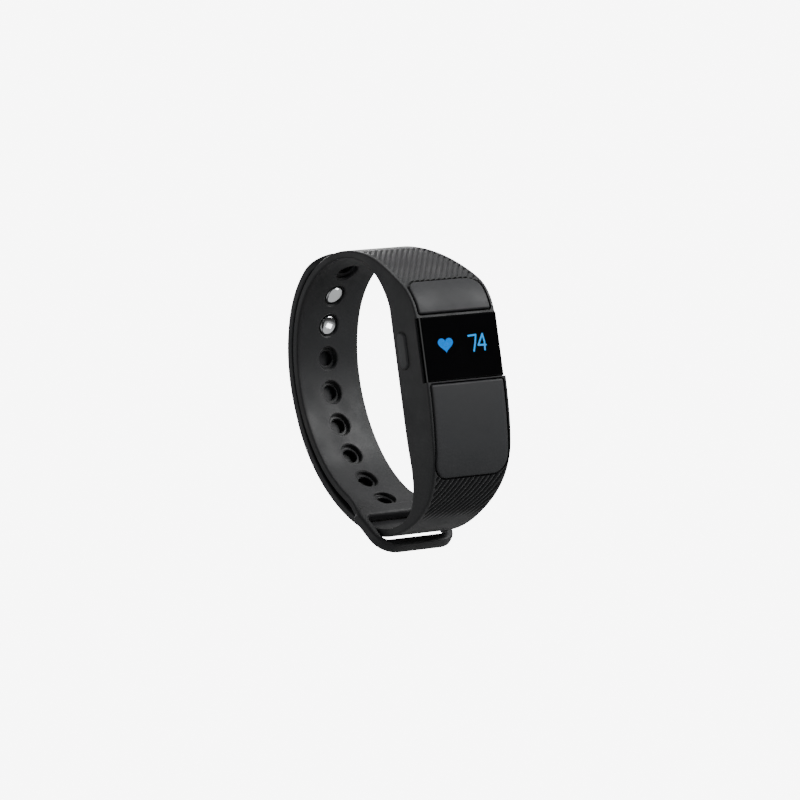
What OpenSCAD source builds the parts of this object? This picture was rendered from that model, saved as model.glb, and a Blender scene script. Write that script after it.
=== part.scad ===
// Fitness tracker band: a one-piece silicone strap around a small electronics capsule.
// X runs along the wrist axis, -Y points out of the display and +Z is up.
// The origin is the centre of the wrist opening.

/* [Strap] */
// Width of the strap behind the wrist
strap_w = 15; // [14:0.1:15.2]
// Width of the sleeve around the capsule
sleeve_w = 19.2; // [19.2:0.1:20]
// Thickness of the half with the holes
strap_t = 1.5; // [1.4:0.05:1.7]
// Thickness of the tail half
tail_t = 1.6; // [1.5:0.05:1.8]
// Gap between the tail and the half with the holes
tail_gap = 0.2; // [0.15:0.05:0.3]

/* [Holes] */
// Number of adjustment holes
hole_count = 9; // [7:1:9]
// Spacing of the holes along the outside of the strap
hole_pitch = 6.96; // [6.9:0.01:7]
// Diameter of the through hole
hole_d = 3; // [2.8:0.1:3.2]
// Diameter of the recess around each hole on the wrist side
recess_d = 4.4; // [4.2:0.1:4.6]
// Depth of that recess
hole_recess = 0.75; // [0.6:0.05:0.8]

/* [Ring] */
// Width of the keeper ring at the end of the strap
ring_w = 19; // [18.6:0.1:19.4]
// Length of the ring
ring_l = 12.2; // [12:0.1:12.4]
// Thickness of the ring
ring_t = 2.3; // [2:0.1:2.4]
// Length of the slot in the ring
slot_l = 6.8; // [6.6:0.1:6.9]

/* [Clasp] */
// Diameter of a stud head
stud_d = 3.7; // [3.5:0.1:3.8]
// Diameter of a stud shank
shank_d = 2.6; // [2.4:0.1:2.8]
// Diameter of the disc on the outside of the tail
disc_d = 5.2; // [5:0.1:5.6]

/* [Display] */
// Width of the lens
lens_w = 18.2; // [18:0.1:18.4]
// Height of the lens
lens_h = 12.3; // [12.2:0.1:12.4]
// Thickness of the lens
lens_t = 1.3; // [1.3:0.05:1.4]

/* [Capsule] */
// Outside width of the capsule
case_w = 16.2; // [16:0.1:16.3]
// Wall of the capsule
wall = 1; // [0.9:0.05:1]

/* [Side button] */
// Length of the button
button_l = 7.2; // [6.8:0.1:7.4]
// Width of the button
button_w = 2.6; // [2.4:0.1:2.6]
// Travel of the button
button_travel = 0.35; // [0.3:0.05:0.35]

/* [Hidden] */
$fn = 48;
silicone = "#1c1d1f";
hard_black = "#2b2c2f";
gloss_black = "#050507";
chrome = "#c9cbd0";
board_green = "#1f5a3a";
chip_black = "#17181a";
nickel = "#a9acb1";
gold = "#c9a24a";

// The outside of the strap is one chain of tangent arcs, [radius, sweep], that starts at
// the ring, climbs the back, crosses the top, runs down the front, passes through the
// ring and ends at the line where the tail peels off.
chain_start = [3.1, -22.5, 46];
chain = [[12.2, -13.5], [26.7, 27], [33.7, 32.2], [28.3, 22.7], [19, 73.6], [32.8, 23.4],
    [49.5, 8], [9.8, 42], [89.4, 16.7], [15.8, 44.5], [23.8, 31.1], [17.8, 33.3],
    [32.7, 54.9]];
chain_end = 190.1;
chain_step = 1.2;

// Distances along the chain
first_hole = 2.5;
peel_at = 26.95;
tip_peel_at = 47.8;
tail_tip_at = 60.6;
upper_join = 70;
lower_join = 149;
studs = [first_hole + 6 * hole_pitch, first_hole + 7 * hole_pitch];

// Studs: a head with a shallow dome and a disc, measured outwards from the strap's outside
head_t = 0.75;
head_r = 8;
head_at = -strap_t - 0.1;
disc_t = 0.5;
disc_at = tail_gap + tail_t - disc_t;

// Heights and depths inside the sleeve
display_y = -26.5;
display_z = 6.3;
seat_y = display_y + lens_t;
case_y = -24.4;
split_y = -19.6;
flange_y = -18.7;
lip_y = -18.6;
inner_y = -17.6;
back_y = -17.4;
inner_z = [-13.2, 14.8];
case_z = [-13.8, 15.6];
boss_z = [-10.4, 12.2];
boss_w = 14.6;
fit_gap = 0.05;
taper_angle = 36.87;
taper_from = 8;
taper_to = 31;

// Parts on the board
board_y = -22.6;
board_t = 0.8;
back_side = board_y + board_t;
screw_x = 5.9;
post_d = 2.6;
screw_z = [-11.8, 13.6];
motor_pos = [3.1, 9.6];
motor_r = 3.5;
button_y = -20.4;
button_z = 6.9;
stem_y = -20.8;
sensor_z = 2;

// Position and heading after a part f of one arc
function walk(p, arc, f = 1) =
    let (h = p[2] + arc[1] * f, r = sign(arc[1]) * arc[0])
    [p[0] + r * (sin(h) - sin(p[2])), p[1] + r * (cos(p[2]) - cos(h)), h];
function arc_len(i) = chain[i][0] * PI / 180 * abs(chain[i][1]);
function at(s, i = 0, p = chain_start) =
    s <= arc_len(i) || i == len(chain) - 1
        ? walk(p, chain[i], s / arc_len(i))
        : at(s - arc_len(i), i + 1, walk(p, chain[i]));
// Point beside the chain, d to the outside
function beside(s, d) = let (p = at(s)) [p[0] + d * sin(p[2]), p[1] - d * cos(p[2])];
function run(from, to, d) =
    let (n = ceil(abs(to - from) / chain_step))
    [for (i = [0:n]) beside(from + (to - from) * i / n, d)];
function bezier(a, b, c, d) =
    [for (t = [0:0.1:1]) a * pow(1 - t, 3) + 3 * b * t * pow(1 - t, 2)
        + 3 * c * t * t * (1 - t) + d * pow(t, 3)];
function heading(s) = let (h = at(s)[2]) [cos(h), sin(h)];
// Two limits around a middle, and two limits moved apart by g
function span(middle, size) = [middle - size / 2, middle + size / 2];
function wider(z, g) = [z[0] - g, z[1] + g];

// A flat outline in (Y, Z), made solid across the strap
module across(w) { rotate([90, 0, 90]) linear_extrude(w, center = true) children(); }

// An outline in (X, Z), made solid from y0 to y1
module facing(y0, y1) {
    translate([0, y1, 0]) rotate([90, 0, 0]) linear_extrude(y1 - y0) children();
}

// An outline in (Y, Z), made solid from x0 to x1
module sideways(x0, x1) {
    translate([x0, 0, 0]) rotate([90, 0, 90]) linear_extrude(x1 - x0) children();
}

// Stands its children on the chain: local z points outwards, local y back along the chain
module on_chain(s, d = 0) {
    translate([0, beside(s, d)[0], beside(s, d)[1]]) rotate([at(s)[2] + 180, 0, 0]) children();
}

module rounded(w, h, r) {
    square([w - 2 * r, h], center = true);
    square([w, h - 2 * r], center = true);
    for (x = [-1, 1], y = [-1, 1])
        translate([x * (w / 2 - r), y * (h / 2 - r)]) circle(r);
}

// A rounded outline between two heights
module plate(w, z, r) { translate([0, (z[0] + z[1]) / 2]) rounded(w, z[1] - z[0], r); }

module pill(w, l) {
    square([w, l - w], center = true);
    for (s = [-1, 1]) translate([0, s * (l - w) / 2]) circle(w / 2);
}

module box(x, y, z) {
    translate([x[0], y[0], z[0]]) cube([x[1] - x[0], y[1] - y[0], z[1] - z[0]]);
}

// Half-width of the strap at the distance t from the middle of the display
function half_w(t) =
    t < taper_from ? sleeve_w / 2
    : t > taper_to ? strap_w / 2
    : (sleeve_w + strap_w) / 4
        + (sleeve_w - strap_w) / 4 * cos(180 * (t - taper_from) / (taper_to - taper_from));

module taper(angle) {
    steps = [-40, for (t = [taper_from:1.15:taper_to]) t, 80];
    translate([0, display_y, display_z]) rotate([angle, 0, 0])
        linear_extrude(200, center = true)
            polygon(concat([for (t = steps) [half_w(t), t]],
                [for (i = [len(steps) - 1:-1:0]) [-half_w(steps[i]), steps[i]]]));
}

module strap_profile() {
    up = beside(upper_join, -strap_t);
    low = beside(lower_join, -tail_t);
    top = [inner_y, inner_z[1]];
    bottom = [inner_y, inner_z[0]];
    lower_curve = bezier(low, low - 6.5 * heading(lower_join), bottom - [0, 6], bottom);
    upper_curve = bezier(top, top + [0, 5.5], up + 7 * heading(upper_join), up);
    polygon(concat(run(0, chain_end, 0), run(chain_end, lower_join + 1, -tail_t),
        lower_curve, upper_curve, run(upper_join - 1, 0, -strap_t)));
}

module ring() {
    on_chain(0, -strap_t / 2) linear_extrude(ring_t, center = true) difference() {
        translate([0, ring_l / 2 - 0.8]) rounded(ring_w, ring_l, 3);
        translate([0, 2.2 + slot_l / 2]) rounded(strap_w + 0.5, slot_l, 1);
    }
}

// Stepped holes; those that hold a stud are opened to the width of the recess
module holes() {
    for (i = [0:hole_count - 1]) {
        s = first_hole + i * hole_pitch;
        on_chain(s) translate([0, 0, -3]) cylinder(h = 4, d = hole_d);
        on_chain(s) translate([0, 0, -3]) cylinder(h = 3 - strap_t + hole_recess, d = recess_d);
    }
    for (s = studs) on_chain(s) translate([0, 0, -3]) cylinder(h = 4, d = recess_d);
}

// The inlaid panels follow the chain between two heights of the front
module panel_band(out, deep) {
    across(sleeve_w) polygon(concat(run(80, 132, out), run(132, 80, -deep)));
}

// Outlines of the panels: round corners of radius r at the end away from the display
module upper_outline(grow = 0) {
    plate(17.2 + 2 * grow, wider([13.2, 19.7], grow), 3);
    plate(17.2 + 2 * grow, wider([13.2, 16], grow), 0.5);
}

module lower_outline(grow = 0) {
    plate(17.4 + 2 * grow, wider([-18.2, -0.4], grow), 3.5);
    plate(17.4 + 2 * grow, wider([-14, -0.4], grow), 0.5);
}

module strap() {
    color(silicone) difference() {
        union() {
            intersection() {
                across(sleeve_w) strap_profile();
                taper(taper_angle);
                taper(-taper_angle);
            }
            ring();
        }
        holes();
        capsule_pocket();
        // recess for the lens, open at both sides
        box([-20, 20], [-40, seat_y], span(display_z, lens_h + 0.1));
        facing(-27, case_y) plate(case_w + 0.2, span(display_z, 11.5), 1);
        // seats of the panels
        intersection() {
            panel_band(1, 0.85);
            union() {
                facing(-30, -10) upper_outline(0.3);
                facing(-30, -10) lower_outline(0.3);
            }
        }
        // slot and inner recess for the side button
        translate([0, button_y, button_z]) {
            sideways(-12, -8) pill(button_w + 0.16, button_l + 0.16);
            sideways(-9, -8) pill(3.4, 8);
        }
    }
}

module case_profile(back) {
    polygon([[case_y, 12.4], [case_y + 0.7, 14.2], [case_y + 1.8, case_z[1]], [back, case_z[1]],
        [back, case_z[0]], [case_y + 1, case_z[0]], [case_y, -9.8]]);
}

module capsule_pocket() {
    intersection() {
        translate([0, -fit_gap, 0]) across(case_w + 2 * fit_gap) case_profile(lip_y + fit_gap);
        facing(-30, -10) plate(case_w + 2 * fit_gap, wider(case_z, fit_gap), 1.5);
    }
    facing(lip_y - 0.1, -10) plate(boss_w + 0.3, wider(boss_z, 0.15), 2.1);
}

module panel_upper() {
    color(hard_black) intersection() {
        panel_band(0.1, 0.8);
        facing(-30, -10) upper_outline();
    }
}

module panel_lower() {
    color(hard_black) intersection() {
        panel_band(0.1, 0.8);
        facing(-30, -10) lower_outline();
    }
}

module tail_band(from, to) {
    across(strap_w) polygon(concat(run(from, to, tail_gap), run(to, from, tail_gap + tail_t)));
}

// Hole for a stud and the seat of its disc
module stud_seat(s) {
    on_chain(s) cylinder(h = 3, d = shank_d + 0.04);
    on_chain(s, disc_at) cylinder(h = 2, d = disc_d + 0.04);
}

module tail_lower() {
    color(silicone) difference() {
        tail_band(peel_at, tip_peel_at - fit_gap);
        stud_seat(studs[0]);
    }
}

module tail_tip() {
    color(silicone) difference() {
        intersection() {
            tail_band(tip_peel_at, tail_tip_at);
            on_chain(54) linear_extrude(20, center = true)
                translate([0, 3.4]) rounded(strap_w, 20, 5);
        }
        stud_seat(studs[1]);
    }
}

// Riveted stud: a domed head, a shank and a disc that lies flush in the tail
module stud(s) {
    color(chrome) on_chain(s) {
        translate([0, 0, head_at]) intersection() {
            cylinder(h = head_t, d = stud_d);
            translate([0, 0, head_r]) sphere(head_r, $fn = 96);
        }
        translate([0, 0, head_at + head_t / 2])
            cylinder(h = disc_at - head_at, d = shank_d);
        translate([0, 0, disc_at]) cylinder(h = disc_t, d = disc_d);
    }
}

module clasp_stud_lower() { stud(studs[0]); }
module clasp_stud_upper() { stud(studs[1]); }

module side_button() {
    color(silicone) {
        translate([0, button_y, button_z]) {
            sideways(-sleeve_w / 2 - 0.5, -8.95) pill(button_w, button_l);
            sideways(-8.95, -8.55) pill(3.2, 7.8);
        }
        translate([-8.55, stem_y, button_z]) rotate([0, 90, 0]) cylinder(h = 1.5, d = 1.4);
    }
}

module case_front() {
    color(hard_black) difference() {
        union() {
            intersection() {
                across(case_w) case_profile(split_y);
                facing(-30, -10) plate(case_w, case_z, 1.5);
            }
            facing(seat_y, case_y + 0.2) plate(case_w, span(display_z, 11.4), 1);
        }
        difference() {
            intersection() {
                translate([0, 0.9, 0]) across(case_w - 2 * wall) case_cavity();
                facing(-30, -10) plate(case_w - 2 * wall, [-12.9, 14.7], 1);
            }
            for (x = [-1, 1], z = screw_z)
                translate([x * screw_x, 0, z]) rotate([90, 0, 0]) cylinder(h = 60, d = post_d, center = true);
        }
        // window for the display and seat of the touch electrode
        facing(-27, -23) plate(15, span(display_z, 10.2), 0.6);
        facing(-27, case_y + 0.15) plate(10.2, [-9.1, -0.9], 0.6);
        for (x = [-1, 1], z = screw_z)
            translate([x * screw_x, split_y + 1, z]) rotate([90, 0, 0]) cylinder(h = 3, d = 0.92);
        translate([-9, stem_y, button_z]) rotate([0, 90, 0]) cylinder(h = 3, d = 1.8);
        // groove of the gasket
        gasket_ring(split_y - 0.3, 0.52);
    }
}

module case_cavity() {
    polygon([[case_y, 12.2], [case_y + 0.6, 13.7], [case_y + 1.3, 14.7], [-10, 14.7],
        [-10, -12.9], [case_y + 0.7, -12.9], [case_y, -9.8]]);
}

module gasket_ring(y0, w) {
    facing(y0, split_y) difference() {
        plate(case_w - wall + w, wider(case_z, -(wall - w) / 2), 1.25);
        plate(case_w - wall - w, wider(case_z, -(wall + w) / 2), 0.75);
    }
}

module case_gasket() { color("#3c3f45") gasket_ring(split_y - 0.28, 0.48); }

module case_back() {
    color(gloss_black) difference() {
        union() {
            facing(split_y, flange_y) plate(case_w, case_z, 1.5);
            facing(flange_y - 0.1, back_y) plate(boss_w, boss_z, 2);
        }
        facing(split_y - 1, -18.2) plate(13, [-9.6, 11.4], 1.5);
        for (x = [-1, 1], z = screw_z)
            translate([x * screw_x, flange_y + 1, z]) rotate([90, 0, 0]) {
                cylinder(h = 3, d = 1);
                cylinder(h = 1.52, d = 1.74);
            }
        facing(-20, -10) plate(9.1, span(sensor_z, 5.1), 1.5);
        for (x = [-2.5, 2.5])
            translate([x, -10, -7]) rotate([90, 0, 0]) cylinder(h = 10, d = 2.04);
    }
}

module case_screws() {
    color(nickel) for (x = [-1, 1], z = screw_z)
        translate([x * screw_x, flange_y, z]) rotate([90, 0, 0]) difference() {
            union() {
                cylinder(h = 0.5, d = 1.7);
                cylinder(h = 2.6, d = 0.9);
            }
            for (a = [0, 90]) rotate(a) cube([1, 0.25, 0.5], center = true);
        }
}

module display_lens() {
    c = 0.25;
    y = [display_y, seat_y];
    z = span(display_z, lens_h);
    color(gloss_black) intersection() {
        across(lens_w) polygon([[y[0], z[0] + c], [y[0], z[1] - c], [y[0] + c, z[1]],
            [y[1], z[1]], [y[1], z[0]], [y[0] + c, z[0]]]);
        translate([0, 0, display_z]) linear_extrude(20, center = true)
            polygon([[-lens_w / 2 + c, y[0]], [lens_w / 2 - c, y[0]], [lens_w / 2, y[0] + c],
                [lens_w / 2, y[1]], [-lens_w / 2, y[1]], [-lens_w / 2, y[0] + c]]);
    }
}

module display_panel() { color("#101820") box([-7.2, 7.2], [-25.15, -24.25], span(display_z, 9.6)); }

module display_flex() {
    t = 0.12;
    color("#b5762c") across(7) polygon([[-24.25, 1.8], [-24.25, 3.6], [-24.25 + t, 3.6],
        [-24.25 + t, 1.8 + t], [board_y, 1.8 + t], [board_y, 0.2], [board_y - t, 0.2],
        [board_y - t, 1.8]]);
}

module touch_pad() { color("#b87333") facing(case_y, case_y + 0.12) plate(10, [-9, -1], 0.5); }

module main_board() {
    color(board_green) difference() {
        facing(board_y, back_side) plate(13.8, [-12.6, 13.7], 1);
        for (x = [-1, 1], z = screw_z)
            translate([x * screw_x, -20, z]) rotate([90, 0, 0]) cylinder(h = 10, d = post_d + 0.3);
    }
}

// A component on the back of the board, by its centre, size and height
module chip(pos, size, h) {
    box(span(pos[0], size[0]), [back_side, back_side + h], span(pos[1], size[1]));
}

module processor() { color(chip_black) chip([-2.2, 11], [3.6, 3.6], 0.8); }
module memory_chip() { color(chip_black) chip([1.6, 4.2], [3, 2], 0.7); }
module motion_sensor() { color(chip_black) chip([5.2, 4.2], [2, 2], 0.9); }
module clock_crystal() { color(nickel) chip([-1.6, 4.2], [2, 1.6], 0.5); }
module antenna() { color("#e8e4da") chip([-1.6, 13.3], [5.4, 0.6], 0.6); }

module battery() {
    color("#9aa0a8") facing(back_side + 0.05, split_y - 0.1) plate(12.4, [-10.4, 2.3], 0.8);
}

module battery_tabs() {
    color(nickel) for (x = [-4.6, -3.2]) box([x - 0.4, x + 0.4], [back_side, back_side + 0.15], [2.3, 3.4]);
}

module motor_can() {
    color(nickel) translate([motor_pos[0], split_y - 0.1, motor_pos[1]]) rotate([90, 0, 0]) {
        difference() {
            cylinder(h = 2.1, r = motor_r);
            translate([0, 0, 0.2]) cylinder(h = 1.7, r = motor_r - 0.2);
        }
        cylinder(h = 2.1, d = 0.8);
    }
}

module motor_rotor() {
    color("#8a7f6a") translate([motor_pos[0], split_y - 0.5, motor_pos[1]]) rotate([90, 0, 0])
        difference() {
            union() {
                cylinder(h = 1.2, r = 1);
                intersection() {
                    cylinder(h = 1.2, r = motor_r - 0.4);
                    translate([-4, -8, -1]) cube([8, 8, 4]);
                }
            }
            translate([0, 0, -1]) cylinder(h = 4, d = 0.86);
        }
}

module switch_body() {
    color("#d8d8d8") difference() {
        box([-6.4, -3.9], [back_side, -19.8], span(button_z, 4.5));
        box([-7, -5.1], span(stem_y, 1.3), span(button_z, 2.5));
    }
}

module switch_plunger() { color("#303030") box([-7, -5.6], span(stem_y, 1.2), span(button_z, 2.4)); }

module sensor_board() { color(board_green) box([-5.5, 5.5], [-19.55, -19.15], span(sensor_z, 7)); }

module sensor_leds() {
    color("#bfe8b0") for (x = [-3.2, 3.2])
        box(span(x, 1.6), [-19.15, -18.55], span(sensor_z, 1.6));
}

module photodiode() { color("#26323c") box([-1.4, 1.4], [-19.15, -18.55], span(sensor_z, 2.2)); }

module light_barrier() {
    color(chip_black) facing(-19.15, -18.25) translate([0, sensor_z]) difference() {
        square([4.2, 3.8], center = true);
        square([3.2, 2.8], center = true);
    }
}

module sensor_window() { color("#30343a") facing(-18.2, back_y) plate(9, span(sensor_z, 5), 1.5); }

module charge_contacts() {
    color(gold) for (x = [-2.5, 2.5]) translate([x, back_y, -7]) rotate([90, 0, 0]) {
        cylinder(h = 0.9, d = 2);
        translate([0, 0, 0.8]) cylinder(h = 0.3, d = 2.8);
    }
}

strap();
panel_upper();
panel_lower();
tail_lower();
tail_tip();
clasp_stud_lower();
clasp_stud_upper();
side_button();
case_front();
case_back();
case_gasket();
case_screws();
display_lens();
display_panel();
display_flex();
touch_pad();
main_board();
processor();
memory_chip();
motion_sensor();
clock_crystal();
antenna();
battery();
battery_tabs();
motor_can();
motor_rotor();
switch_body();
switch_plunger();
sensor_board();
sensor_leds();
photodiode();
light_barrier();
sensor_window();
charge_contacts();
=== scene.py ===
"""Fitness tracker band: strap, tail, keeper ring, panels, studs and lit figures."""

import math

import bmesh
import bpy
from mathutils import Matrix, Vector


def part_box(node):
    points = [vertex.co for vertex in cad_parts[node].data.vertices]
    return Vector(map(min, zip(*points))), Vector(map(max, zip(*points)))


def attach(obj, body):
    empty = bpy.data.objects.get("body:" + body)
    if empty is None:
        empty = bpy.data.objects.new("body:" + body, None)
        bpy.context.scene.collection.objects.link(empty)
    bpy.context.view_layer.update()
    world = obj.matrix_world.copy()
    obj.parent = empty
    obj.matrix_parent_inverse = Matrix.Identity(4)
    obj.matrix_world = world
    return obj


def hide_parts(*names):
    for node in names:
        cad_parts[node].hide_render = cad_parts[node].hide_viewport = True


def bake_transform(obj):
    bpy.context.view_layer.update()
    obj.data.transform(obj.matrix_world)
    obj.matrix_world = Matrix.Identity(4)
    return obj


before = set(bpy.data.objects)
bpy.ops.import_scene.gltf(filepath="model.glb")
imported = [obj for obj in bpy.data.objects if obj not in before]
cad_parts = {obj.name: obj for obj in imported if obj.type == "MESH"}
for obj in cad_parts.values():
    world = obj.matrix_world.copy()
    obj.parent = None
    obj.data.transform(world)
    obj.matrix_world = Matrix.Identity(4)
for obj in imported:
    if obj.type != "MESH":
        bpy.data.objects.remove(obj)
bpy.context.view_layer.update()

bl_info = {
    "name": "Fitness tracker band",
    "version": (1, 0, 0),
    "blender": (4, 5, 0),
    "location": "3D View > Sidebar > Band",
    "description": "Models the soft and shiny parts of an activity band around its capsule",
    "category": "Add Mesh",
}

MM = 0.001

# Places taken from the frame, in millimetres
LENS_LO, LENS_HI = (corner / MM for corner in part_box("display_lens"))
LENS_Y = LENS_LO.y
LENS_BACK = LENS_HI.y
LENS_Z = (LENS_LO.z + LENS_HI.z) / 2
SLEEVE_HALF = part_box("strap")[1].x / MM
STRAP_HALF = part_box("tail_lower")[1].x / MM

# The strap's outside in the (Y, Z) plane: start and heading, then arcs as (radius, sweep),
# from the ring end up the back, over the top, down the front and through the ring
CHAIN_START = (3.1, -22.5, 46)
CHAIN = (
    (12.2, -13.5), (26.7, 27), (33.7, 32.2), (28.3, 22.7), (19, 73.6), (32.8, 23.4),
    (49.5, 8), (9.8, 42), (89.4, 16.7), (15.8, 44.5), (23.8, 31.1), (17.8, 33.3),
    (32.7, 54.9),
)

# Places along that outside: its end in the ring, the strap's start, the sleeve's wrist side
# with its flat part, the tail's start, and on the lap the two hinges, the split and the tip
CHAIN_END = 190.1
STRAP_START = -1.8
UPPER_JOIN = 70
INNER_TOP = 97.5
INNER_BOTTOM = 123.6
LOWER_JOIN = 149
TAIL_CUT = 155.5
PEEL_AT = 26.95
TAIL_SPLIT = 40
TIP_PEEL_AT = 47.8
TAIL_TIP_AT = 60.6

# Half a length along the strap at each hinge
PEEL_BLEND = 3.5
TIP_PEEL_BLEND = 1.2

# Flat wrist side of the sleeve: its place and the heights of its ends
WRIST_Y = -17.6
WRIST_TOP_Z = 14.8
WRIST_BOTTOM_Z = -13.2

# The strap's end widens by the first of these over the length of the second
FLARE_WIDTH = 1.45
FLARE_LENGTH = 7

# The sleeve narrows to the strap from this far behind the display, over this run
TAPER_START = 8
TAPER_RUN = 23

# Holes, and each stud's hole and body
HOLE_FIRST = 2.5
HOLE_PITCH = 6.96
HOLE_COUNT = 9
STUDS = {"clasp_stud_lower": (6, "tail"), "clasp_stud_upper": (7, "tip")}

# Ribs: first and last place along the strap, their slant in degrees, where the slant is
# counted from, their spacing across the strap, and how gently they start and end
RIBS = ((73.5, 94.6, 39, 91, 1.3, 2, 0.8), (124.5, 141.5, 30, 126.5, 1.22, 0.8, 4))
RIB_STEP = 0.17
RIB_COLUMNS = 116

# Panels: (top, bottom) heights, width, radius of the upper and of the lower corners
PANELS = {
    "panel_upper": (19.7, 13.2, 17.2, 3, 0.5),
    "panel_lower": (-0.4, -18.2, 17.4, 0.5, 3.5),
}
PANEL_GAP = 0.3

# Keeper ring and its slot: X across, Y from the strap's end, Z thickness, corner radii
RING = ((-9.5, -0.8, -1.15), (9.5, 11.4, 1.15))
RING_STRAP_R = 3
RING_FAR_R = 4.4
RING_EDGE = 0.95
RING_SLOT = ((-7.75, 2.2, -4), (7.75, 9, 4))
RING_SLOT_R = 1

# Room for the capsule in the sleeve, as corners and corner radius
POCKET = ((-8.15, -24.45, -13.85), (8.15, -18.55, 15.65), 1.5)
POCKET_FRONT_R = 1.2
WINDOW = ((-8.2, -27, LENS_Z - 5.75), (8.2, -24.3, LENS_Z + 5.75), 1)
OPENING = ((-7.45, -18.8, -10.55), (7.45, -10, 12.35), 2.1)
LENS_RECESS = ((-20, -40, LENS_Z - 6.2), (20, LENS_BACK, LENS_Z + 6.2))
BUTTON_SLOT = ((-12, -21.78, 3.22), (-8, -19.02, 10.58), 1.37)

# Side button: cap, the flange that keeps it in and the stem's foot
BUTTON_CAP = ((-10.1, -21.7, 3.3), (-8.8, -19.1, 10.5), 1.28)
BUTTON_FLANGE = ((-8.95, -22, 3), (-8.55, -18.8, 10.8), 1.58)
BUTTON_STEM = (-8.55, -20.8, 6.9)
BUTTON_EDGE = 0.5

# Lit figures, as (X, height) about the display's centre, and how far they sit in the lens
HEART_MIDDLE = (-4.02, 0.73)
HEART_WIDTH = 1.79
HEART_RISE = 0.0976
DIGITS = {
    "digit_seven": ((1.6, 1.95), (3.4, 2.03), (3.05, 0.5), (2.55, -1.0)),
    "digit_four": ((5.0, 2.1), (3.75, 0.05), (5.55, -0.02)),
    "digit_four_stem": ((5.0, 2.1), (5.3, 0.6), (5.2, -0.95)),
}
FIGURE_LAYER = (LENS_Y - 0.02, LENS_Y + 0.03)

# Dots of the display, drawn about twice as coarse as they are so that they show
DOT_SIZE = 0.22

# Stage: soft boxes as name, place, aim, width, height and power in watts
LIGHTS = (
    ("key_softbox", (270, -245, 220), (0, 0, 0), 220, 260, 2.1),
    ("front_softbox", (-40, -420, 160), (0, -20, 0), 240, 240, 0.4),
    ("top_softbox", (130, 90, 390), (0, 0, 0), 260, 260, 0.68),
    ("rear_softbox", (-260, 345, 60), (0, 0, 0), 240, 300, 0.25),
    ("side_softbox", (-420, 20, 40), (0, 0, 0), 260, 260, 0.5),
    ("back_softbox", (190, 400, 120), (0, 0, 0), 260, 260, 1.3),
    ("low_card", (120, -106, -87), (0, 16, 17), 60, 30, 0.03),
)

# Floor's height in millimetres and size in metres; the surround's strength to the eye and
# as a light on the band
FLOOR_Z = -170
FLOOR_SIZE = 8
WHITE = (1, 1, 1, 1)
SURROUND_SEEN = 8
SURROUND_FELT = 0.07

# Camera: turn, tilt and roll in degrees, the place it aims at, how far the view's middle
# lies right of and above that place, its distance and its lens
CAMERA_ANGLES = (36.98, -2.36, -7.42)
CAMERA_AIM = (0, -26.7, 6.3)
CAMERA_OFFSET = (-12.04, -10.16)
CAMERA_DISTANCE = 1000
CAMERA_LENS = 237.2


def colour(code):
    """Linear colour from an sRGB hex value."""
    parts = [int(code[i:i + 2], 16) / 255 for i in (1, 3, 5)]
    return [c / 12.92 if c <= 0.04045 else ((c + 0.055) / 1.055) ** 2.4 for c in parts]


def length(name, description, default):
    """A size, given in millimetres."""
    return bpy.props.FloatProperty(
        name=name, description=description, default=default * MM, unit="LENGTH", precision=5)


def tint(name, description, default):
    """A colour, given as a hex value."""
    return bpy.props.FloatVectorProperty(
        name=name, description=description, default=colour(default), subtype="COLOR")


class BandSizes(bpy.types.PropertyGroup):
    """Sizes of the modelled parts."""

    strap_t: length("Strap thickness", "Half with the holes", 1.5)
    tail_t: length("Tail thickness", "Half that becomes the tail", 1.6)
    tail_gap: length("Tail gap", "Gap between the two halves", 0.2)
    edge_r: length("Edge radius", "Rounding of the strap's long edges", 0.4)
    rib_depth: length("Rib depth", "Depth of the grooves between ribs", 0.45)
    rim: length("Rim", "Plain rim beside the ribs", 0.8)
    hole_d: length("Hole", "Diameter of the through holes", 3)
    recess_d: length("Recess", "Diameter of the recess round a hole", 4.4)
    recess: length("Recess depth", "Depth of the recess round a hole", 0.75)
    stud_d: length("Stud head", "Diameter of a stud's head", 3.7)
    panel_r: length("Panel edge", "Rounding of the panels' front edges", 0.4)
    stroke: length("Stroke", "Width of the strokes of the figures", 0.36)


class BandColours(bpy.types.PropertyGroup):
    """Colours of the visible finishes."""

    silicone: tint("Silicone", "Strap and tail", "#1d1e20")
    panel: tint("Panels", "Soft-touch front panels", "#2b2c2e")
    lens: tint("Lens", "Black display glass", "#020203")
    chrome: tint("Chrome", "Clasp studs", "#eceef0")
    # Side button: coloured lighter than the panels as painted light on its face
    button: tint("Button", "Side button", "#343537")
    heart: tint("Heart", "Lit heart", "#0083ff")
    digits: tint("Digits", "Lit digits", "#1e9cff")


def mm(name):
    """A size of the band in millimetres."""
    return getattr(bpy.context.scene.band_sizes, name) / MM


# ---- the strap's path ----------------------------------------------------------------

def walk(p, arc, part=1.0):
    """Point and heading after a part of one arc."""
    start = math.radians(p[2])
    end = math.radians(p[2] + arc[1] * part)
    r = math.copysign(arc[0], arc[1])
    return (
        p[0] + r * (math.sin(end) - math.sin(start)),
        p[1] + r * (math.cos(start) - math.cos(end)),
        p[2] + arc[1] * part,
    )


def at(s):
    """Point and heading at place s."""
    p = CHAIN_START
    for arc in CHAIN[:-1]:
        run = math.radians(abs(arc[1])) * arc[0]
        if s <= run:
            return walk(p, arc, s / run)
        s -= run
        p = walk(p, arc)
    return walk(p, CHAIN[-1], s / (math.radians(CHAIN[-1][1]) * CHAIN[-1][0]))


def forward(s):
    """Direction along the strap at place s."""
    h = math.radians(at(s)[2])
    return Vector((0, math.cos(h), math.sin(h)))


def outward(s):
    """Direction away from the wrist at place s."""
    h = math.radians(at(s)[2])
    return Vector((0, math.sin(h), -math.cos(h)))


def beside(s, d):
    """Point on the middle plane, d outside the strap's outside."""
    p = at(s)
    return Vector((0, p[0], p[1])) + outward(s) * d


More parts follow.
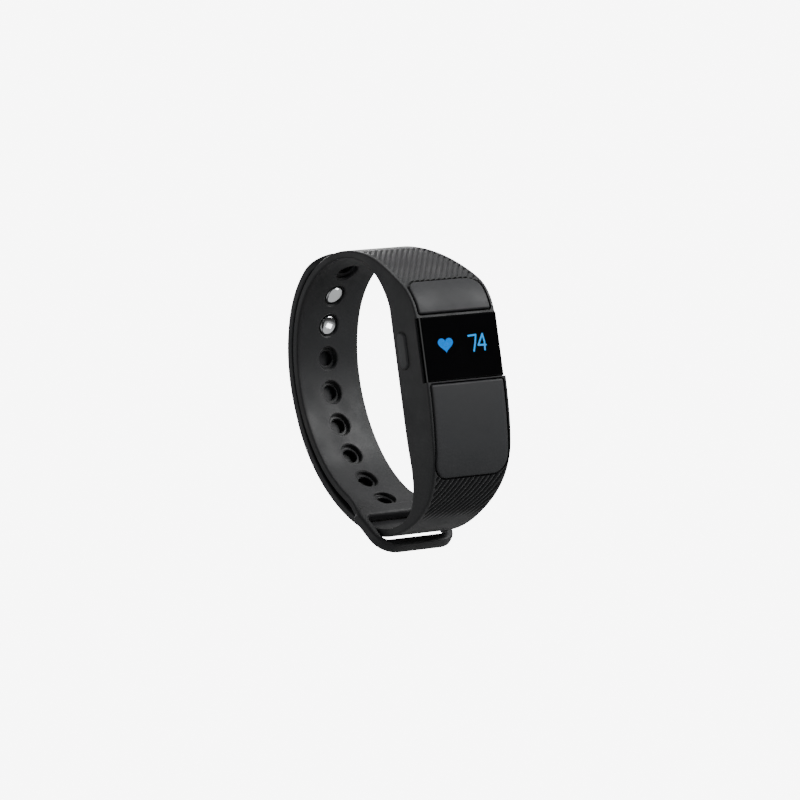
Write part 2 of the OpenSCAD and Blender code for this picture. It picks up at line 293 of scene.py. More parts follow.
def on_strap(s, d):
    """Frame at a place of the strap: X across, Y back along it, Z outwards."""
    place = Matrix((Vector((1, 0, 0)), -forward(s), outward(s))).transposed().to_4x4()
    place.translation = beside(s, d) * MM
    return place


def hole_place(index):
    """Frame at the middle of a hole, on the strap's outside."""
    return on_strap(HOLE_FIRST + index * HOLE_PITCH, 0)


def place_of_height(z):
    """Place on the front of the strap at height z."""
    low, high = 80, 135
    for _ in range(40):
        middle = (low + high) / 2
        low, high = (middle, high) if at(middle)[1] > z else (low, middle)
    return low


def bezier(a, b, c, d, t):
    """Point at t on the curve from a to d, pulled towards b and c."""
    u = 1 - t
    return a * u ** 3 + b * 3 * t * u * u + c * 3 * t * t * u + d * t ** 3


def inner_point(s):
    """Wrist side of the strap opposite place s.

    Two curves join the sleeve's flat part to the strap above and below it."""
    top = Vector((0, WRIST_Y, WRIST_TOP_Z))
    bottom = Vector((0, WRIST_Y, WRIST_BOTTOM_Z))
    if s <= UPPER_JOIN:
        return beside(s, -mm("strap_t"))
    if s < INNER_TOP:
        end = beside(UPPER_JOIN, -mm("strap_t"))
        t = (s - UPPER_JOIN) / (INNER_TOP - UPPER_JOIN)
        return bezier(end, end + forward(UPPER_JOIN) * 7, top + Vector((0, 0, 5.5)), top, t)
    if s <= INNER_BOTTOM:
        return top.lerp(bottom, (s - INNER_TOP) / (INNER_BOTTOM - INNER_TOP))
    if s < LOWER_JOIN:
        end = beside(LOWER_JOIN, -mm("tail_t"))
        t = (s - INNER_BOTTOM) / (LOWER_JOIN - INNER_BOTTOM)
        return bezier(bottom, bottom - Vector((0, 0, 6)), end - forward(LOWER_JOIN) * 6.5, end, t)
    return beside(s, -mm("tail_t"))


def smooth(t):
    """Eases from 0 to 1."""
    t = min(max(t, 0), 1)
    return t * t * (3 - 2 * t)


def tail_point(q, depth):
    """Point of the tail depth below its outside, at q along the strap and on past the ring."""
    # The path through the ring runs into the lap over the strap within 6 mm
    lap = q - CHAIN_END + PEEL_AT
    wrap = beside(q, -depth) if q < CHAIN_END + 4 else Vector()
    over = beside(lap, mm("tail_gap") + mm("tail_t") - depth) if q > CHAIN_END - 4 else Vector()
    return wrap.lerp(over, smooth((q - CHAIN_END + 3) / 6))


def half_width(p):
    """Half the strap's width at a point of its side outline: wide sleeve, narrow strap."""
    # The edge narrows backwards and away from the display's height
    run = 0.8 * (p.y - LENS_Y) + 0.6 * abs(p.z - LENS_Z)
    part = min(max((run - TAPER_START) / TAPER_RUN, 0), 1)
    middle = (SLEEVE_HALF + STRAP_HALF) / 2
    return middle + (SLEEVE_HALF - STRAP_HALF) / 2 * math.cos(math.pi * part)


def flare(s):
    """Widening of the strap's end where it runs into the ring."""
    return FLARE_WIDTH * (1 - smooth((s - STRAP_START) / FLARE_LENGTH))


def groove(s, x, half):
    """Depth of the groove between two ribs."""
    for first, last, slant, origin, pitch, rise, fall in RIBS:
        if first < s < last:
            fade = smooth((s - first) / rise) * smooth((last - s) / fall)
            fade *= smooth((half - mm("rim") - abs(x)) / 0.3 + 0.5)
            phase = (x + math.tan(math.radians(slant)) * (s - origin)) / pitch
            wave = 0.5 + 0.5 * math.cos(2 * math.pi * phase)
            return mm("rib_depth") * fade * wave ** 2.2
    return 0


# ---- modelling by hand ---------------------------------------------------------------

def deselect():
    """Leaves edit mode with nothing selected."""
    if bpy.context.object and bpy.context.object.mode != "OBJECT":
        bpy.ops.object.mode_set(mode="OBJECT")
    bpy.ops.object.select_all(action="DESELECT")


def only(piece):
    """Makes the piece the only selected and the active one."""
    deselect()
    piece.select_set(True)
    bpy.context.view_layer.objects.active = piece


def named(name):
    """Names the piece that was just added."""
    piece = bpy.context.object
    piece.name = piece.data.name = name
    return piece


def edit(piece, *steps):
    """Runs edit mode steps on the whole mesh."""
    only(piece)
    bpy.ops.object.mode_set(mode="EDIT")
    bpy.ops.mesh.select_all(action="SELECT")
    for step in steps:
        step()
    bpy.ops.object.mode_set(mode="OBJECT")


def outside_out(piece):
    """Merges doubles and turns every face outwards."""
    edit(piece, lambda: bpy.ops.mesh.remove_doubles(threshold=1e-7),
         lambda: bpy.ops.mesh.normals_make_consistent(inside=False))
    shape = bmesh.new()
    shape.from_mesh(piece.data)
    inside_out = shape.calc_volume(signed=True) < 0
    shape.free()
    if inside_out:
        edit(piece, bpy.ops.mesh.flip_normals)


def modify(piece, kind, **settings):
    """Adds a modifier and applies it."""
    only(piece)
    modifier = piece.modifiers.new(kind.title(), kind)
    for key, value in settings.items():
        setattr(modifier, key, value)
    bpy.ops.object.modifier_apply(modifier=modifier.name)


def combine(piece, other, operation="DIFFERENCE"):
    """Cuts the other shape out of the piece, or unites them, and uses it up."""
    modify(piece, "BOOLEAN", object=other, operation=operation, solver="EXACT")
    bpy.data.objects.remove(other)


def join(pieces):
    """Puts the pieces into one mesh."""
    only(pieces[0])
    for piece in pieces:
        piece.select_set(True)
    bpy.ops.object.join()
    return pieces[0]


def settle(piece, place=None):
    """Moves the piece to its place and keeps that place in the mesh."""
    only(piece)
    if place is not None:
        piece.matrix_world = place @ piece.matrix_world
    bpy.ops.object.transform_apply(location=True, rotation=True, scale=True)
    return piece


def soften(piece, angle=35):
    """Shades smooth apart from edges sharper than the angle."""
    only(piece)
    bpy.ops.object.shade_smooth_by_angle(angle=math.radians(angle))
    return piece


def block(name, low, high, radius=0, axis=1, ends=None, segments=8):
    """A block in millimetres with its corners along one axis rounded.

    ends chooses the corners by their place, as a test of the corner's middle."""
    low, high = Vector(low), Vector(high)
    deselect()
    bpy.ops.mesh.primitive_cube_add(size=1, location=(low + high) / 2 * MM)
    piece = named(name)
    piece.scale = (high - low) * MM
    settle(piece)
    if radius:
        round_corners(piece, radius, axis, ends, segments)
    return piece


def round_corners(piece, radius, axis, ends=None, segments=8):
    """Rounds the edges that run along an axis, all of them or those that ends chooses."""
    only(piece)
    bpy.ops.object.mode_set(mode="EDIT")
    bpy.ops.mesh.select_all(action="DESELECT")
    bpy.ops.object.mode_set(mode="OBJECT")
    points = piece.data.vertices
    for line in piece.data.edges:
        a, b = (points[i].co for i in line.vertices)
        run = [abs(v) for v in b - a]
        along = run[axis] > 1e-6 and sum(run) - run[axis] < 1e-7
        line.select = along and (ends is None or ends((a + b) / 2 / MM))
    bpy.ops.object.mode_set(mode="EDIT")
    bpy.ops.mesh.select_mode(type="EDGE")
    bpy.ops.mesh.bevel(offset=radius * MM, segments=segments, affect="EDGES")
    bpy.ops.object.mode_set(mode="OBJECT")


def turned(name, profile, place, sides=64):
    """A piece turned about Z from (radius, height) steps in millimetres, put in its place."""
    deselect()
    radius, height = profile[0]
    bpy.ops.mesh.primitive_circle_add(
        vertices=sides, radius=radius * MM, fill_type="NGON", location=(0, 0, height * MM))
    piece = named(name)
    settle(piece)
    only(piece)
    bpy.ops.object.mode_set(mode="EDIT")
    bpy.ops.mesh.select_all(action="SELECT")
    for r, h in profile[1:]:
        bpy.ops.mesh.extrude_region_move(
            TRANSFORM_OT_translate={"value": (0, 0, (h - height) * MM)})
        bpy.ops.transform.resize(value=(r / radius, r / radius, 1))
        radius, height = r, h
    bpy.ops.object.mode_set(mode="OBJECT")
    settle(piece, place)
    outside_out(piece)
    return piece


def plate(name, outline, low, high):
    """A flat outline of (X, Z) points in millimetres, extruded along Y from low to high."""
    deselect()
    bpy.ops.mesh.primitive_circle_add(vertices=len(outline), radius=1, fill_type="NGON")
    piece = named(name)
    for vertex, (x, z) in zip(piece.data.vertices, outline):
        vertex.co = (x * MM, low * MM, z * MM)
    edit(piece, lambda: bpy.ops.mesh.extrude_region_move(
        TRANSFORM_OT_translate={"value": (0, (high - low) * MM, 0)}))
    outside_out(piece)
    return piece


def spread(low, high, count):
    """Even steps from low to high, both included."""
    return [low + (high - low) * i / count for i in range(count + 1)]


def stations(*spans):
    """Places along the strap: each span is first, last and step."""
    places = []
    for first, last, step in spans:
        places += spread(first, last, max(1, round((last - first) / step)))[:-1]
    return places + [spans[-1][1]]


def ring_round(outer, inner, half, radius, columns, depth=None):
    """Loop of points round the strap: outside, side, wrist side, other side."""
    thick = (outer - inner).length
    way = (inner - outer).normalized()
    radius = min(radius, 0.45 * thick)
    turn = [math.radians(a) for a in (22.5, 45, 67.5, 90)]
    corner = [(radius * (1 - math.cos(a)), radius * (1 - math.sin(a))) for a in turn]
    profile = corner + [(d, 0) for d in spread(radius, thick - radius, 4)[1:-1]]
    profile += [(thick - drop, inset) for drop, inset in reversed(corner)]

    def point(x, d):
        return outer + way * d + Vector((x, 0, 0))

    flat = half - radius
    loop = []
    for x in spread(-flat, flat, columns):
        loop.append(point(x, depth(x, half) if depth else 0))
    loop += [point(half - inset, drop) for drop, inset in profile]
    loop += [point(x, thick) for x in spread(flat, -flat, min(columns, 20))]
    loop += [point(inset - half, drop) for drop, inset in reversed(profile)]
    return loop


def skin(name, loops):
    """A grid wrapped round the loops, closed at its seam and its ends."""
    columns, rows = len(loops[0]), len(loops) - 1
    deselect()
    bpy.ops.mesh.primitive_grid_add(x_subdivisions=columns, y_subdivisions=rows, size=1)
    piece = named(name)
    points = [c * MM for loop in loops for p in loop + loop[:1] for c in p]
    piece.data.vertices.foreach_set("co", points)
    piece.data.update()
    edit(piece, lambda: bpy.ops.mesh.remove_doubles(threshold=1e-7))
    only(piece)
    bpy.ops.object.mode_set(mode="EDIT")
    bpy.ops.mesh.select_mode(type="EDGE")
    bpy.ops.mesh.select_all(action="DESELECT")
    bpy.ops.mesh.select_non_manifold()
    bpy.ops.mesh.fill_holes(sides=0)
    bpy.ops.object.mode_set(mode="OBJECT")
    outside_out(piece)
    return piece


def finished(piece, body, slot, material, *nodes):
    """Gives a piece its finish and its body, and hides the nodes it stands for. The slot is not
    used.
    """
    piece.data.materials.clear()
    piece.data.materials.append(material)
    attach(piece, body)
    if nodes:
        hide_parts(*nodes)


# ---- materials -----------------------------------------------------------------------

def add(tree, kind, inputs=None, **settings):
    """Adds a node with its settings and its values or links."""
    node = tree.nodes.new(kind)
    for key, value in settings.items():
        setattr(node, key, value)
    for key, value in (inputs or {}).items():
        if isinstance(value, bpy.types.NodeSocket):
            tree.links.new(value, node.inputs[key])
        else:
            node.inputs[key].default_value = value
    return node


def shifted(rgb, factor):
    """The colour made lighter or darker, with its alpha."""
    return [min(c * factor, 1) for c in rgb] + [1]


def empty_material(name):
    """A new material and its cleared node tree."""
    material = bpy.data.materials.new(name)
    material.use_nodes = True
    material.node_tree.nodes.clear()
    return material, material.node_tree


def surface(name, rgb, rough, grain, relief, patch=5, tone=0.25, metallic=0, spread_rough=0.08,
            stretch=(1, 1, 1), **shader):
    """A moulded, plated or coated finish.

    grain and relief are the size and height of its texture and patch the size of its
    uneven tone, all in millimetres."""
    material, tree = empty_material(name)
    place = add(tree, "ShaderNodeTexCoord").outputs["Object"]
    stretched = add(tree, "ShaderNodeMapping", {"Vector": place, "Scale": stretch}).outputs[0]
    patches = add(tree, "ShaderNodeTexNoise", {
        "Vector": place, "Scale": 1 / (patch * MM), "Detail": 4, "Roughness": 0.6}).outputs[0]
    tones = add(tree, "ShaderNodeMix", {
        0: patches, 6: shifted(rgb, 1 - tone), 7: shifted(rgb, 1 + tone)}, data_type="RGBA")
    texture = add(tree, "ShaderNodeTexNoise", {
        "Vector": stretched, "Scale": 1 / (grain * MM), "Detail": 2,
        "Roughness": 0.5}).outputs[0]
    roughness = add(tree, "ShaderNodeMapRange", {
        "Value": patches, "From Min": 0.3, "From Max": 0.7,
        "To Min": rough - spread_rough, "To Max": rough + spread_rough}).outputs[0]
    bump = add(tree, "ShaderNodeBump", {
        "Height": texture, "Distance": relief * MM, "Strength": 1})
    principled = add(tree, "ShaderNodeBsdfPrincipled", {
        "Base Color": tones.outputs[2], "Roughness": roughness, "Normal": bump.outputs[0],
        "Metallic": metallic, **shader})
    add(tree, "ShaderNodeOutputMaterial", {"Surface": principled.outputs[0]})
    return material


def lit(name, rgb, strength):
    """Lit dots of the display: even light, a little duller between the dots."""
    material, tree = empty_material(name)
    place = add(tree, "ShaderNodeTexCoord").outputs["Object"]
    dots = add(tree, "ShaderNodeTexNoise", {
        "Vector": place, "Scale": 1 / (DOT_SIZE * MM), "Detail": 1})
    tones = add(tree, "ShaderNodeMix", {
        0: dots.outputs[0], 6: shifted(rgb, 0.8), 7: shifted(rgb, 1.2)}, data_type="RGBA")
    principled = add(tree, "ShaderNodeBsdfPrincipled", {
        "Base Color": (0, 0, 0, 1), "Roughness": 0.5, "Specular IOR Level": 0,
        "Emission Color": tones.outputs[2], "Emission Strength": strength})
    add(tree, "ShaderNodeOutputMaterial", {"Surface": principled.outputs[0]})
    return material


FINISHES = {}


def finish(name):
    """The band's finishes, each made once."""
    if name in FINISHES:
        return FINISHES[name]
    colours = bpy.context.scene.band_colours
    if name == "silicone":
        # Moulded silicone rubber: soft, nearly matt, with a fine grain and a faint bloom
        made = surface("moulded_silicone", colours.silicone, 0.57, 0.09, 0.006, patch=6, tone=0.16,
                       **{"IOR": 1.41, "Sheen Weight": 0.12, "Sheen Roughness": 0.4})
    elif name == "panel":
        # Soft-touch coated polycarbonate: a little lighter and smoother than the silicone
        made = surface("soft_touch_panel", colours.panel, 0.6, 0.12, 0.004, patch=7, tone=0.1,
                       **{"IOR": 1.5, "Specular IOR Level": 0.3})
    elif name == "button":
        # Soft-touch coated button like the panels, its colour made lighter as painted light for
        # the light that falls on its face
        made = surface("soft_touch_painted_lit", colours.button, 0.5, 0.12, 0.004, patch=3, tone=0.12,
                       **{"IOR": 1.5, "Specular IOR Level": 0.4})
    elif name == "lens":
        # Black-backed display glass: deep gloss with faint smears
        made = surface("black_display_glass", colours.lens, 0.07, 0.8, 0.0004, patch=4, tone=0.3,
                       spread_rough=0.03, **{"IOR": 1.5, "Specular IOR Level": 0.35})
    elif name == "chrome":
        # Polished chromed brass: mirror bright with hairline turning marks
        made = surface("chromed_brass", colours.chrome, 0.09, 0.5, 0.0012, patch=2, tone=0.05,
                       metallic=1, spread_rough=0.04)
    elif name == "heart":
        made = lit("lit_heart", colours.heart, 1.05)
    elif name == "digits":
        made = lit("lit_digits", colours.digits, 1.3)
    else:
        made = surface(*CAPSULE_FINISHES[name][0], **CAPSULE_FINISHES[name][1])
    FINISHES[name] = made
    return made


# Finishes of the capsule: name, colour, roughness, grain and relief in millimetres
CAPSULE_FINISHES = {
    # Glass-filled polycarbonate, spark-eroded mould: dull black with a fine even grain
    "case": (("moulded_polycarbonate", colour("#17181a"), 0.45, 0.1, 0.006),
             {"patch": 4, "tone": 0.12}),
    # Stainless steel 304, rolled and tumbled: grey with fine scratches one way
    "steel": (("tumbled_stainless_steel", colour("#a9abad"), 0.3, 0.06, 0.003),
              {"metallic": 1, "patch": 1.5, "tone": 0.1, "stretch": (0.15, 1, 1)}),
    # FR4 board under green solder mask: satin, with traces showing as a faint tone
    "board": (("solder_masked_board", colour("#14472a"), 0.35, 0.3, 0.01),
              {"patch": 1.2, "tone": 0.35}),
    # Epoxy chip package: matt charcoal
    "chip": (("epoxy_chip_package", colour("#1b1b1c"), 0.6, 0.05, 0.004),
             {"patch": 0.8, "tone": 0.15}),
    # Rolled copper on polyimide: amber and soft gloss
    "copper": (("rolled_copper_foil", colour("#b06a3a"), 0.35, 0.08, 0.003),
               {"metallic": 1, "patch": 1, "tone": 0.15}),
    # Gold-plated contact: bright warm yellow
    "gold": (("gold_plated_contact", colour("#d6a850"), 0.22, 0.05, 0.002),
             {"metallic": 1, "patch": 0.8, "tone": 0.1}),
    # Aluminium laminate pouch: dull silver with soft creases
    "cell": (("aluminium_laminate_pouch", colour("#9aa0a8"), 0.38, 0.9, 0.03),
             {"metallic": 0.8, "patch": 3, "tone": 0.12}),
    # Fired ceramic: off-white and fine
    "ceramic": (("fired_ceramic", colour("#e4dfd2"), 0.5, 0.05, 0.002),
                {"patch": 0.6, "tone": 0.06}),
    # Clear epoxy over green LEDs: milky green
    "led_resin": (("tinted_led_epoxy", colour("#8fd79a"), 0.2, 0.2, 0.001),
                  {"patch": 0.6, "tone": 0.1}),
    # Smoked polycarbonate window: near black, glossy
    "smoked": (("smoked_polycarbonate", colour("#0d0e12"), 0.1, 0.4, 0.001),
               {"patch": 2, "tone": 0.2, "IOR": 1.58}),
    # Liquid silicone seal: dark grey and slightly tacky
    "seal": (("silicone_seal", colour("#3a3c40"), 0.55, 0.08, 0.003),
             {"patch": 1, "tone": 0.1}),
}

# The capsule's nodes by finish
CAPSULE_NODES = {
    "case": ("case_front", "case_back", "switch_body", "light_barrier"),
    "lens": ("display_lens", "display_panel"),
    "steel": ("case_screws", "motor_can", "clock_crystal", "battery_tabs", "motor_rotor"),
    "board": ("main_board", "sensor_board"),
    "chip": ("processor", "memory_chip", "motion_sensor", "photodiode"),
    "copper": ("display_flex", "touch_pad"),
    "gold": ("charge_contacts",),
    "cell": ("battery",),
    "ceramic": ("antenna", "switch_plunger"),
    "led_resin": ("sensor_leds",),
    "smoked": ("sensor_window",),
    "seal": ("case_gasket",),
}


# ---- cutters -------------------------------------------------------------------------

def panel_rows(name, grow=0.0, lift=0.1, deep=0.8, radius=None, step=0.5):
    """Loops of a panel, or of its seat when grown."""
    top, bottom, width, r_top, r_bottom = PANELS[name]
    first, last = place_of_height(top + grow), place_of_height(bottom - grow)
    half = width / 2 + grow
    r_top, r_bottom = r_top + grow, r_bottom + grow
    soft = 0 if radius is None else radius
    quarter = [math.pi / 2 * i / 12 for i in range(13)]
    marks = {round(v, 4) for v in stations((first, last, step))}
    # Rows are closer where a corner or the edge is round
    for r in {r_top, soft}:
        marks |= {round(first + r * (1 - math.cos(a)), 4) for a in quarter}
    for r in {r_bottom, soft}:
        marks |= {round(last - r * (1 - math.cos(a)), 4) for a in quarter}
    places = [v for v in sorted(marks) if first - 1e-6 <= v <= last + 1e-6]
    places = [v for i, v in enumerate(places) if i == 0 or v - places[i - 1] > 0.004]

    def inset(near, r):
        return r - math.sqrt(max(r * r - (r - near) ** 2, 0)) if 0 <= near < r else 0

    loops = []
    for s in places:
        wide = half - max(inset(s - first, r_top), inset(last - s, r_bottom))
        drop = max(inset(s - first, soft), inset(last - s, soft)) if soft else 0
        loops.append(ring_round(
            beside(s, lift - drop), beside(s, -deep), wide, max(soft - drop, 0.02), 24))
    return loops


def hole_cutters():
    """Stepped holes with a softly rounded lip on the wrist side."""
    # From the wrist side outwards: rounded lip, recess, step and through hole
    r, wide, deep = mm("hole_d") / 2, mm("recess_d") / 2, mm("recess")
    inside = -mm("strap_t")
    lip = 0.22
    profile = [(wide + lip + 0.3, inside - 0.6), (wide + lip, inside - 0.02)]
    for angle in (30, 60, 90):
        a = math.radians(angle)
        profile.append((wide + lip * (1 - math.sin(a)), inside + lip * (1 - math.cos(a))))
    profile += [(wide, inside + deep - 0.1), (wide - 0.1, inside + deep),
                (r + 0.12, inside + deep), (r, inside + deep + 0.12),
                (r, -0.12), (r + 0.12, 0.01), (r + 0.12, 0.4)]
    return [turned(f"hole_{i}", profile, hole_place(i)) for i in range(HOLE_COUNT)]


def capsule_cutter():
    """Pocket of the capsule with its openings to the front, the wrist and the button."""
    pocket = block("pocket", *POCKET)
    round_corners(pocket, POCKET_FRONT_R, 0, lambda p: p.y < -24)
    combine(pocket, block("window", *WINDOW), "UNION")
    combine(pocket, block("opening", *OPENING), "UNION")
    combine(pocket, block("recess", *LENS_RECESS), "UNION")
    combine(pocket, block("slot", *BUTTON_SLOT, axis=0), "UNION")
    return pocket


# ---- operators -----------------------------------------------------------------------

class BAND_OT_strap(bpy.types.Operator):
    """Model the sleeve and the half with the holes"""

    bl_idname = "band.strap"
    bl_label = "Strap"

    def execute(self, context):
        (top, front), (base, low) = (ribs[:2] for ribs in RIBS)
        flared, sleeve = 5.1, 69.9
        places = stations(
            (STRAP_START, flared, 0.3), (flared, sleeve, 0.6), (sleeve, top, 0.4),
            (top, front, RIB_STEP), (front, base, 0.5), (base, low, RIB_STEP),
            (low, TAIL_CUT, 0.6))
        loops = []
        for s in places:
            outer, inner = beside(s, 0), inner_point(s)
            half = STRAP_HALF + flare(s) if s < UPPER_JOIN else half_width(outer)
            loops.append(ring_round(outer, inner, half, mm("edge_r"), RIB_COLUMNS,
                                    lambda x, wide: groove(s, x, wide)))
        strap = skin("strap_body", loops)
        cutters = hole_cutters() + [capsule_cutter()]
        cutters += [skin(f"{name}_seat", panel_rows(name, PANEL_GAP, lift=1, deep=0.85))
                    for name in PANELS]
        combine(strap, join(cutters))
        soften(strap, 40)
        finished(strap, "band", "silicone", finish("silicone"), "strap")
        return {"FINISHED"}


class BAND_OT_ring(bpy.types.Operator):
    """Model the keeper ring at the end of the strap"""

    bl_idname = "band.ring"
    bl_label = "Keeper ring"

    def execute(self, context):
        ring = block("keeper_ring", *RING, RING_STRAP_R, axis=2, ends=lambda p: p.y < 6)
        round_corners(ring, RING_FAR_R, 2, lambda p: p.y > 6)
        combine(ring, block("ring_slot", *RING_SLOT, RING_SLOT_R, axis=2))
        modify(ring, "BEVEL", width=RING_EDGE * MM, segments=6, limit_method="ANGLE",
               angle_limit=math.radians(60))
        settle(ring, on_strap(0, -mm("strap_t") / 2))
        soften(ring, 40)
        finished(ring, "band", "silicone", finish("silicone"))
        return {"FINISHED"}


class BAND_OT_tail(bpy.types.Operator):
    """Model the tail that wraps through the ring and over the holes"""

    bl_idname = "band.tail"
    bl_label = "Tail"

    def execute(self, context):
        thick, radius = mm("tail_t"), mm("edge_r")
        split = CHAIN_END + TAIL_SPLIT - PEEL_AT
        tip = CHAIN_END + TAIL_TIP_AT - PEEL_AT

        def loop(q, shrink=0.0, narrow=0.0):
            outer, inner = tail_point(q, shrink), tail_point(q, thick - shrink)
            half = STRAP_HALF if q > CHAIN_END - 8 else half_width(outer)
            return ring_round(outer, inner, half - narrow - shrink, radius - shrink * 0.9, 30)

        wrap = skin("tail_wrap", [loop(q) for q in stations((TAIL_CUT, split, 0.6))])
        soften(wrap, 40)
        tip_r = 5
        end = [(q, 0) for q in stations((split, tip - tip_r, 0.5))[:-1]]
        for a in spread(0, math.pi / 2, 16):
            end.append((tip - tip_r + tip_r * math.sin(a), tip_r - tip_r * math.cos(a)))
        loops = []
        for q, narrow in end:
            near = radius - (tip - q)
            shrink = radius - math.sqrt(max(radius ** 2 - near ** 2, 0)) if near > 0 else 0
            loops.append(loop(q, shrink * 0.9, narrow))
        tail = skin("tail_end", loops)
        # A stud's hole: the shank's, then the disc's wider seat in the tail's outside
        seat = [(1.38, -1), (1.38, 1.28), (2.66, 1.28), (2.66, 1.74), (2.8, 1.9), (2.8, 2.6)]
        combine(tail, join([turned(f"{name}_seat", seat, hole_place(index))
                            for name, (index, _) in STUDS.items()]))
        soften(tail, 40)
        for piece in (wrap, tail):
            piece.data.materials.append(finish("silicone"))
        hinge, way = beside(PEEL_AT, 1) * MM, forward(PEEL_AT) * PEEL_BLEND * MM
        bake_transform(wrap)
        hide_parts("tail_lower")
        hinge, way = beside(TIP_PEEL_AT, 1) * MM, forward(TIP_PEEL_AT) * TIP_PEEL_BLEND * MM
        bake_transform(tail)
        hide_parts("tail_tip")
        return {"FINISHED"}


class BAND_OT_studs(bpy.types.Operator):
    """Turn the clasp studs: domed head, shank and dished disc"""

    bl_idname = "band.studs"
    bl_label = "Clasp studs"

    def execute(self, context):
        # From the wrist side outwards: domed head, shank, then the disc with its dished face
        r = mm("stud_d") / 2
        profile = [(0.15, -1.6), (0.7, -1.58), (1.2, -1.52), (r - 0.25, -1.41), (r - 0.1, -1.36),
                   (r - 0.03, -1.29), (r, -1.2), (r, -0.93), (r - 0.06, -0.87), (1.3, -0.85),
                   (1.3, 1.3), (2.52, 1.3), (2.6, 1.37), (2.6, 1.7), (2.56, 1.77), (2.48, 1.8),
                   (2.36, 1.79), (2.2, 1.72), (1.6, 1.69), (0.15, 1.68)]
        for name, (index, body) in STUDS.items():
            stud = turned(name.replace("clasp_", "") + "_rivet", profile, hole_place(index),
                          sides=96)
            soften(stud, 35)
            finished(stud, body, "stud_chrome", finish("chrome"), name)
        return {"FINISHED"}


class BAND_OT_panels(bpy.types.Operator):
    """Model the two front panels"""

    bl_idname = "band.panels"
    bl_label = "Front panels"

    def execute(self, context):
        for name in PANELS:
            panel = skin(name.replace("panel_", "") + "_panel",
                         panel_rows(name, radius=mm("panel_r")))
            soften(panel, 40)
            finished(panel, "band", "panel", finish("panel"), name)
        return {"FINISHED"}


class BAND_OT_button(bpy.types.Operator):
    """Model the side button with its hidden flange and stem"""

    bl_idname = "band.button"
    bl_label = "Side button"

    def execute(self, context):
        cap = block("side_key", *BUTTON_CAP, axis=0, segments=12)
        modify(cap, "BEVEL", width=BUTTON_EDGE * MM, segments=5, limit_method="ANGLE",
               angle_limit=math.radians(60))
        combine(cap, block("flange", *BUTTON_FLANGE, axis=0, segments=12), "UNION")
        place = (Matrix.Translation(Vector(BUTTON_STEM) * MM)
                 @ Matrix.Rotation(math.pi / 2, 4, "Y"))
        stem = turned("stem", [(0.7, -0.2), (0.7, 1.4), (0.6, 1.5)], place, sides=32)
        combine(cap, stem, "UNION")
        outside_out(cap)
        soften(cap, 35)
        finished(cap, "button", "silicone", finish("button"), "side_button")
        return {"FINISHED"}


class BAND_OT_figures(bpy.types.Operator):
    """Model the lit heart and the pulse of 74 on the display"""

    bl_idname = "band.figures"
    bl_label = "Lit figures"

    def stroke(self, name, a, b):
        """A round-ended stroke between two (X, Z) points about the display's centre."""
        half = mm("stroke") / 2
        way = Vector(b) - Vector(a)
        angle = math.atan2(way.y, way.x)
        outline = []
        for centre, start in ((b, -90), (a, 90)):
            for step in range(9):
                turn = angle + math.radians(start + 22.5 * step)
                outline.append((centre[0] + half * math.cos(turn),
                                LENS_Z + centre[1] + half * math.sin(turn)))
        return plate(name, outline, *FIGURE_LAYER)

    def execute(self, context):
        # Heart curve, with its lobes on top
        outline = []
        for step in range(72):
            t = 2 * math.pi * step / 72
            rise = 13 * math.cos(t) - 5 * math.cos(2 * t) - 2 * math.cos(3 * t) - math.cos(4 * t)
            outline.append((HEART_MIDDLE[0] + HEART_WIDTH * math.sin(t) ** 3,
                            LENS_Z + HEART_MIDDLE[1] + HEART_RISE * rise))
        heart = plate("pulse_heart", outline, *FIGURE_LAYER)
        finished(heart, "band", "gloss_black", finish("heart"))
        made = {}
        for name, points in DIGITS.items():
            parts = [self.stroke(f"{name}_{i}", a, b)
                     for i, (a, b) in enumerate(zip(points, points[1:]))]
            for part in parts[1:]:
                combine(parts[0], part, "UNION")
            made[name] = parts[0]
            parts[0].name = parts[0].data.name = name
        combine(made["digit_four"], made.pop("digit_four_stem"), "UNION")
        for piece in made.values():
            finished(piece, "band", "gloss_black", finish("digits"))
        return {"FINISHED"}


class BAND_OT_capsule(bpy.types.Operator):
    """Give the capsule and everything in it their finishes"""

    bl_idname = "band.capsule"
    bl_label = "Capsule finishes"

    def execute(self, context):
        for name, nodes in CAPSULE_NODES.items():
            for node in nodes:
                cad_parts[node].data.materials.clear()
                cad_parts[node].data.materials.append(finish(name))
        return {"FINISHED"}


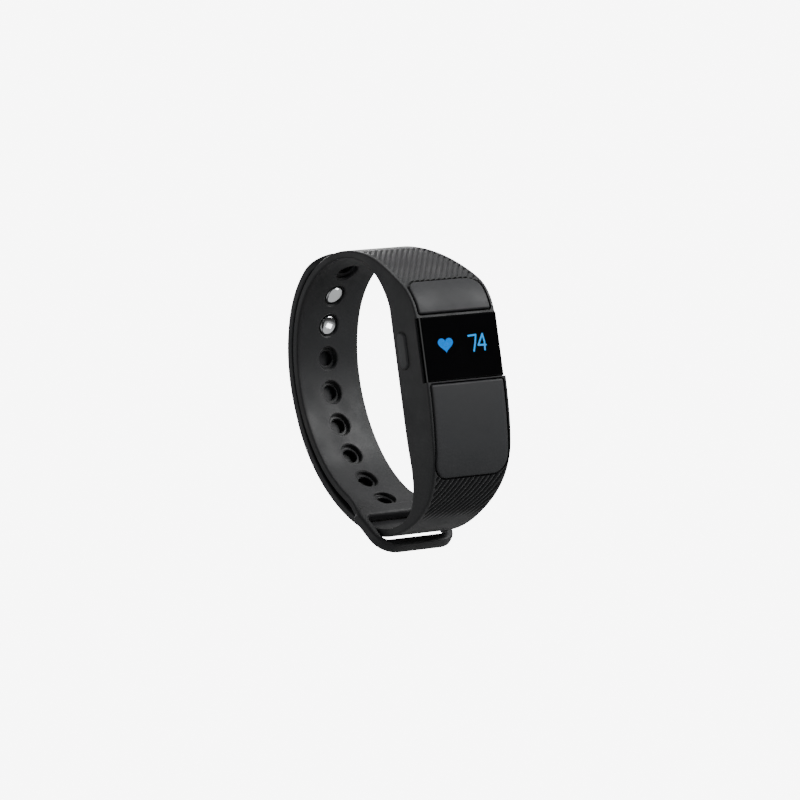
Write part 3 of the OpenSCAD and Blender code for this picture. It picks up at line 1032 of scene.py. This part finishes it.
class BAND_OT_stage(bpy.types.Operator):
    """Set the floor, the soft boxes, the white surround and the camera"""

    bl_idname = "band.stage"
    bl_label = "Stage"

    def light(self, name, place, aim, width, height, power):
        deselect()
        bpy.ops.object.light_add(type="AREA", location=Vector(place) * MM)
        lamp = bpy.context.object
        lamp.name = name
        lamp.data.shape = "RECTANGLE"
        lamp.data.size, lamp.data.size_y = width * MM, height * MM
        lamp.data.energy = power
        way = (Vector(aim) - Vector(place)).to_track_quat("-Z", "Y")
        lamp.rotation_euler = way.to_euler()

    def execute(self, context):
        self.lay_floor()
        for lamp in LIGHTS:
            self.light(*lamp)
        self.hang_surround(context.scene)
        context.scene.camera = self.camera()
        return {"FINISHED"}

    def seen_or_felt(self, tree, felt, seen):
        """White to the eye, and softer as a light on the band."""
        path = add(tree, "ShaderNodeLightPath")
        return add(tree, "ShaderNodeMixShader", {
            0: path.outputs["Is Camera Ray"], 1: felt, 2: seen}).outputs[0]

    def lay_floor(self):
        deselect()
        bpy.ops.mesh.primitive_grid_add(x_subdivisions=2, y_subdivisions=2, size=FLOOR_SIZE,
                                        location=(0, 0, FLOOR_Z * MM))
        floor = named("floor")
        # Matt paper: even and pale, glowing to the eye so that it joins the surround
        paper = surface("matt_white_paper", colour("#a8a8a8"), 0.9, 0.4, 0.01, patch=60, tone=0.01)
        floor.data.materials.append(paper)
        tree = paper.node_tree
        end = tree.nodes["Material Output"].inputs["Surface"]
        glow = add(tree, "ShaderNodeEmission", {"Color": WHITE, "Strength": SURROUND_SEEN})
        both = self.seen_or_felt(tree, end.links[0].from_socket, glow.outputs[0])
        tree.links.new(both, end)

    def hang_surround(self, scene):
        world = bpy.data.worlds.new("surround")
        scene.world = world
        world.use_nodes = True
        tree = world.node_tree
        tree.nodes.clear()
        seen, felt = (add(tree, "ShaderNodeBackground", {"Color": WHITE, "Strength": strength})
                      for strength in (SURROUND_SEEN, SURROUND_FELT))
        both = self.seen_or_felt(tree, felt.outputs[0], seen.outputs[0])
        add(tree, "ShaderNodeOutputWorld", {"Surface": both})

    def camera(self):
        turn, tilt, roll = (math.radians(angle) for angle in CAMERA_ANGLES)
        right = Vector((math.cos(turn), -math.sin(turn), 0))
        up = Vector((math.sin(turn) * math.sin(tilt), math.cos(turn) * math.sin(tilt),
                     math.cos(tilt)))
        back = right.cross(up)
        right, up = (math.cos(roll) * right + math.sin(roll) * up,
                     math.cos(roll) * up - math.sin(roll) * right)
        across, above = CAMERA_OFFSET
        place = Matrix((right, up, back)).transposed().to_4x4()
        place.translation = (Vector(CAMERA_AIM) + across * right + above * up
                             + CAMERA_DISTANCE * back) * MM
        deselect()
        bpy.ops.object.camera_add()
        camera = bpy.context.object
        camera.matrix_world = place
        camera.data.lens = CAMERA_LENS
        camera.data.sensor_width = 36
        camera.data.clip_start = 0.05
        camera.data.clip_end = 20
        return camera


STEPS = (BAND_OT_strap, BAND_OT_ring, BAND_OT_tail, BAND_OT_studs, BAND_OT_panels,
         BAND_OT_button, BAND_OT_figures, BAND_OT_capsule, BAND_OT_stage)


class BAND_PT_parts(bpy.types.Panel):
    """Steps of the band, in order"""

    bl_label = "Fitness tracker band"
    bl_space_type = "VIEW_3D"
    bl_region_type = "UI"
    bl_category = "Band"

    def draw(self, context):
        for step in STEPS:
            self.layout.operator(step.bl_idname)
        for group in (context.scene.band_sizes, context.scene.band_colours):
            for name in group.__annotations__:
                self.layout.prop(group, name)


CLASSES = (BandSizes, BandColours) + STEPS + (BAND_PT_parts,)


def register():
    for cls in CLASSES:
        bpy.utils.register_class(cls)
    bpy.types.Scene.band_sizes = bpy.props.PointerProperty(type=BandSizes)
    bpy.types.Scene.band_colours = bpy.props.PointerProperty(type=BandColours)


def unregister():
    del bpy.types.Scene.band_sizes
    del bpy.types.Scene.band_colours
    for cls in reversed(CLASSES):
        bpy.utils.unregister_class(cls)


def main():
    register()
    for step in STEPS:
        group, name = step.bl_idname.split(".")
        getattr(getattr(bpy.ops, group), name)()


if __name__ == "__main__":
    main()
